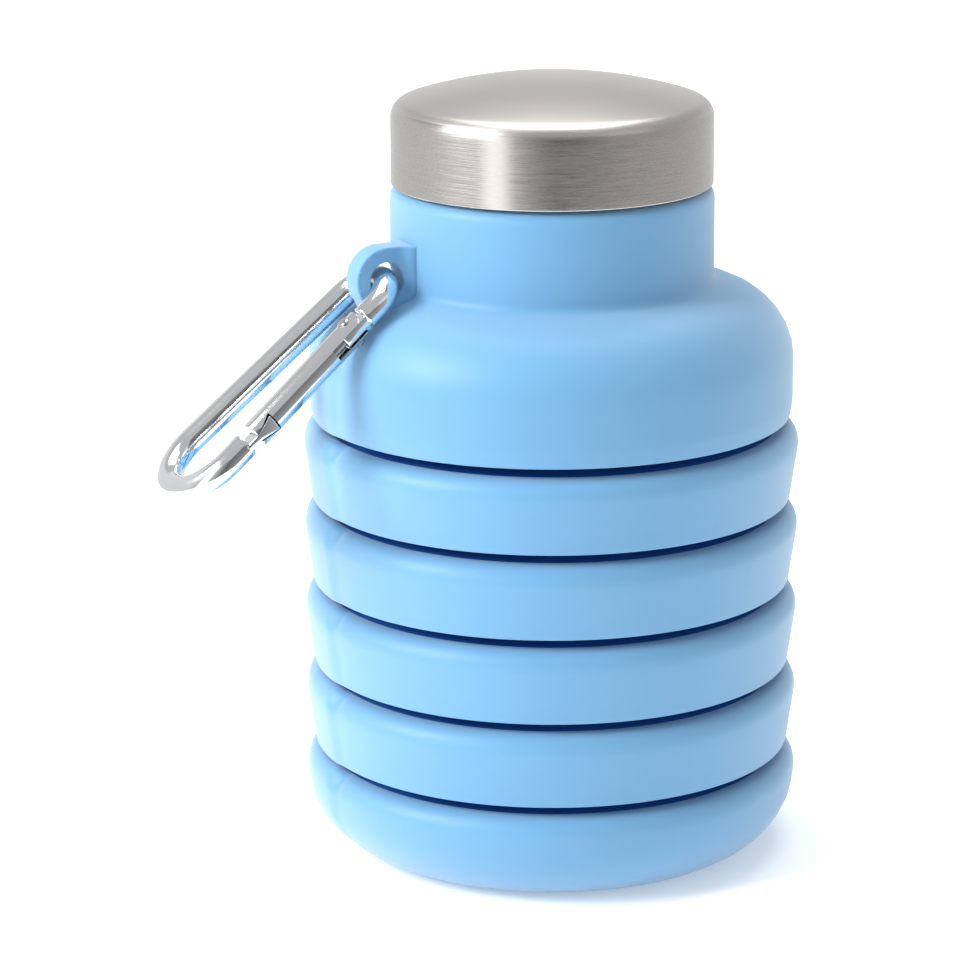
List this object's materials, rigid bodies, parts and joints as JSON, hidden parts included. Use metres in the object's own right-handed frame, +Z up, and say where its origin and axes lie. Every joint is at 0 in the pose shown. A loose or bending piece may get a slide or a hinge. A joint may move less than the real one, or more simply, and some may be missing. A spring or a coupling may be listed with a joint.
{
  "type": "folding water bottle",
  "caption": "Folding silicone water bottle, collapsed: hoop bands on thin folding webs, domed steel screw cap on a short neck, and a carabiner on a lug.",
  "frame": {"origin": "on the bottle's axis at the level it stands on", "axes": "+Z up through the mouth, -X towards the carrying lug, -Y towards the carabiner gate"},
  "size_m": [0.1037, 0.0766, 0.1214],
  "materials": {
    "silicone": "satin moulded silicone, sky blue",
    "gasket_silicone": "translucent white silicone",
    "collar_plastic": "fine satin moulding, white",
    "liner_plastic": "fine satin moulding, white",
    "cap_steel": "brushed round the side, satin dome, polished lip",
    "carabiner_aluminium": "bright polished",
    "pin_steel": "bright turned",
    "spring_steel": "drawn wire"
  },
  "bodies": {
    "base": {"base_cup": "silicone", "fold_web_1": "silicone"},
    "hoop_1": {"band_1": "silicone", "fold_web_2": "silicone"},
    "hoop_2": {"band_2": "silicone", "fold_web_3": "silicone"},
    "hoop_3": {"band_3": "silicone", "fold_web_4": "silicone"},
    "hoop_4": {"band_4": "silicone", "fold_web_5": "silicone"},
    "upper": {"shoulder_neck": "silicone", "neck_collar": "collar_plastic"},
    "seal": {"cap_gasket": "gasket_silicone"},
    "cap": {"cap_shell": "cap_steel", "cap_liner": "liner_plastic"},
    "loop": {"carabiner_frame": "carabiner_aluminium"},
    "gate": {"carabiner_gate": "carabiner_aluminium", "gate_pin": "pin_steel", "gate_spring": "spring_steel"},
    "plunger": {"gate_plunger": "pin_steel"}
  },
  "joints": [
    {"name": "fold_1", "type": "slide", "parent": "base", "child": "hoop_1", "axis": [0, 0, 1], "range_m": [0, 0.0155], "deforming": ["fold_web_1"]},
    {"name": "fold_2", "type": "slide", "parent": "hoop_1", "child": "hoop_2", "axis": [0, 0, 1], "range_m": [0, 0.0155], "deforming": ["fold_web_2"]},
    {"name": "fold_3", "type": "slide", "parent": "hoop_2", "child": "hoop_3", "axis": [0, 0, 1], "range_m": [0, 0.0155], "deforming": ["fold_web_3"]},
    {"name": "fold_4", "type": "slide", "parent": "hoop_3", "child": "hoop_4", "axis": [0, 0, 1], "range_m": [0, 0.0155], "deforming": ["fold_web_4"]},
    {"name": "fold_5", "type": "slide", "parent": "hoop_4", "child": "upper", "axis": [0, 0, 1], "range_m": [0, 0.0155], "deforming": ["fold_web_5"]},
    {"name": "cap_lift", "type": "slide", "parent": "upper", "child": "seal", "axis": [0, 0, 1], "range_m": [0, 0.01]},
    {"name": "cap_turn", "type": "hinge", "parent": "seal", "child": "cap", "pos_m": [0, 0, 0.1], "axis": [0, 0, 1], "range_deg": [0, 900]},
    {"name": "carabiner_swing", "type": "hinge", "parent": "upper", "child": "loop", "pos_m": [-0.0291, 0, 0.0928], "axis": [0, 1, 0], "range_deg": [0, 118]},
    {"name": "gate_open", "type": "hinge", "parent": "loop", "child": "gate", "pos_m": [-0.03688, -0.00566, 0.08639], "axis": [0.6361, 0, -0.7716], "range_deg": [0, 24], "stiffness_Nm_per_rad": 0.03, "springref_deg": -2.86, "deforming": ["gate_spring"]},
    {"name": "plunger_slide", "type": "slide", "parent": "gate", "child": "plunger", "axis": [-0.7704, -0.057, -0.635], "range_m": [0, 0.00045]}
  ],
  "couplings": [
    {"joint": "fold_2", "follows": "fold_1", "ratio": 1},
    {"joint": "fold_3", "follows": "fold_1", "ratio": 1},
    {"joint": "fold_4", "follows": "fold_1", "ratio": 1},
    {"joint": "fold_5", "follows": "fold_1", "ratio": 1},
    {"joint": "cap_lift", "follows": "cap_turn", "m_per_rad": 0.00063662},
    {"joint": "plunger_slide", "follows": "gate_open", "m_per_rad": 0.00103}
  ]
}
